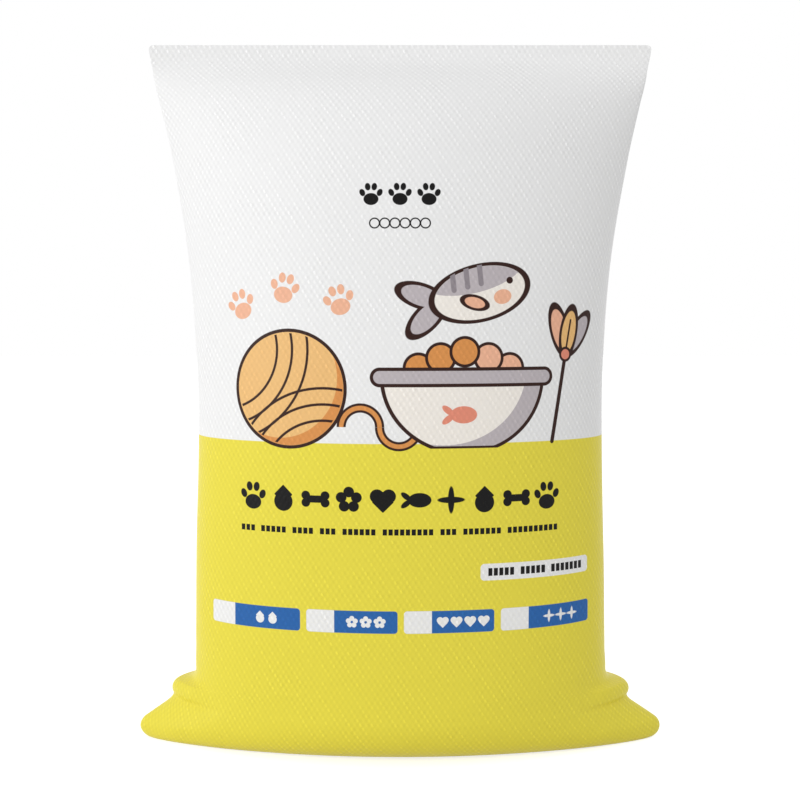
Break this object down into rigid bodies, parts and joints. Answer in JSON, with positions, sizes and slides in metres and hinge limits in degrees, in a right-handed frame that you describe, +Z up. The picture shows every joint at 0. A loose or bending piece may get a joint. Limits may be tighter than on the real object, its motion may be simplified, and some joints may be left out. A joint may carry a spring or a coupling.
{
  "type": "cat litter bag",
  "caption": "Filled pillow sack of woven plastic for cat litter, closed flat along the top, standing on a lens-shaped base with an ear at each end.",
  "frame": {"origin": "on the ground under the middle of the standing sack", "axes": "+Z up, the printed front faces -Y, and +X points to the right seen from the front"},
  "size_m": [0.2854, 0.1089, 0.3725],
  "materials": {
    "printed_sack": "laminated woven tape fabric with a satin film, white above and yellow below"
  },
  "bodies": {
    "root": {"filled_sack": "printed_sack"}
  },
  "joints": []
}
